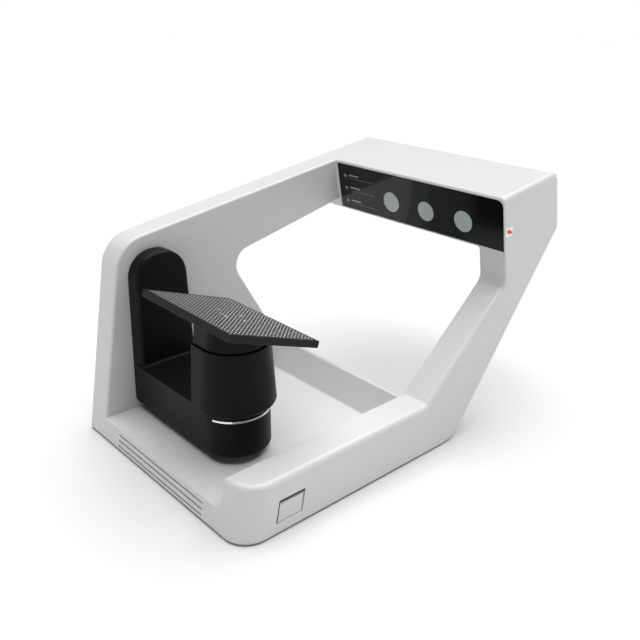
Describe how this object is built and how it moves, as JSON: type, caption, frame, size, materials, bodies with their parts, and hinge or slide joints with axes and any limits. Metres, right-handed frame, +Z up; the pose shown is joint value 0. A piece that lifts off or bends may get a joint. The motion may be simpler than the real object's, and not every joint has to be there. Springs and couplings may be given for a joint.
{
  "type": "desktop dental model scanner",
  "caption": "Open-frame desktop scanner for dental models: camera head held by a side wall and a slanted arm, over a motor swing arm with an inclined turntable plate.",
  "frame": {"origin": "on the surface under the feet, in the middle of the bounding box", "axes": "+Y from the open front to the camera head, +Z up, +X to the right seen from the front"},
  "size_m": [0.26, 0.4042, 0.247],
  "materials": {
    "white_casing": "satin off-white moulded plastic",
    "zinc_sheet": "zinc-coated sheet steel",
    "black_rubber": "matt black rubber",
    "bright_steel": "bright steel",
    "black_plastic": "satin black moulded plastic",
    "gloss_black": "polished black",
    "panel_black": "polished black panel",
    "window_glass": "frosted grey window",
    "camera_black": "black anodised housing",
    "motor_steel": "grey painted can",
    "inner_plastic": "black moulded plastic",
    "board_green": "green circuit board",
    "brass_gear": "machined brass",
    "chrome_trim": "bright chrome",
    "black_plate": "black anodised plate"
  },
  "bodies": {
    "frame": {"base_shell": "white_casing", "bottom_cover": "zinc_sheet", "rubber_feet": "black_rubber", "bottom_screws": "bright_steel", "vent_filter": "black_rubber", "control_board": "board_green", "fan_frame": "inner_plastic", "fan_screws": "bright_steel", "connector_plate": "black_plastic", "power_inlet": "inner_plastic", "usb_socket": "bright_steel", "left_wall_shell": "white_casing", "left_cover": "white_casing", "side_screws": "bright_steel", "swing_bearings": "bright_steel", "swing_motor": "motor_steel", "drive_bracket": "zinc_sheet", "right_arm_shell": "white_casing", "arm_cover": "zinc_sheet", "power_switch": "inner_plastic", "head_shell": "white_casing", "head_rear_cover": "white_casing", "rear_cover_screws": "bright_steel", "front_panel": "panel_black", "left_camera_window": "window_glass", "projector_window": "window_glass", "right_camera_window": "window_glass", "left_camera": "camera_black", "projector": "camera_black", "right_camera": "camera_black", "optics_bracket": "zinc_sheet"},
    "arm": {"swing_arm": "black_plastic", "foot_cover": "black_plastic", "swing_gear": "brass_gear", "swing_shaft": "bright_steel", "turntable_housing": "black_plastic", "trim_ring": "chrome_trim", "turntable_turret": "gloss_black", "turntable_motor": "motor_steel", "turntable_bearing": "bright_steel"},
    "table": {"turntable_hub": "motor_steel", "turntable_shaft": "bright_steel", "holding_magnet": "bright_steel", "model_plate": "black_plate", "plate_screws": "bright_steel"},
    "pinion": {"swing_pinion": "brass_gear"},
    "fan": {"fan_rotor": "inner_plastic"},
    "button": {"power_button": "white_casing"}
  },
  "joints": [
    {"name": "arm_swing", "type": "hinge", "parent": "frame", "child": "arm", "pos_m": [-0.08, -0.132, 0.1575], "axis": [-1, 0, 0], "range_deg": [-30, 75]},
    {"name": "table_spin", "type": "hinge", "parent": "arm", "child": "table", "pos_m": [0.029, -0.132, 0.1557], "axis": [0, 0.342, 0.9397], "continuous": true},
    {"name": "pinion_spin", "type": "hinge", "parent": "frame", "child": "pinion", "pos_m": [-0.122, -0.132, 0.1199], "axis": [-1, 0, 0], "range_deg": [-310, 130]},
    {"name": "fan_spin", "type": "hinge", "parent": "frame", "child": "fan", "pos_m": [-0.038, -0.082, 0.0095], "axis": [0, 0, 1], "continuous": true},
    {"name": "button_press", "type": "slide", "parent": "frame", "child": "button", "axis": [-1, 0, 0], "range_m": [0, 0.0012], "stiffness_N_per_m": 900}
  ],
  "couplings": [
    {"joint": "pinion_spin", "follows": "arm_swing", "ratio": -4}
  ]
}
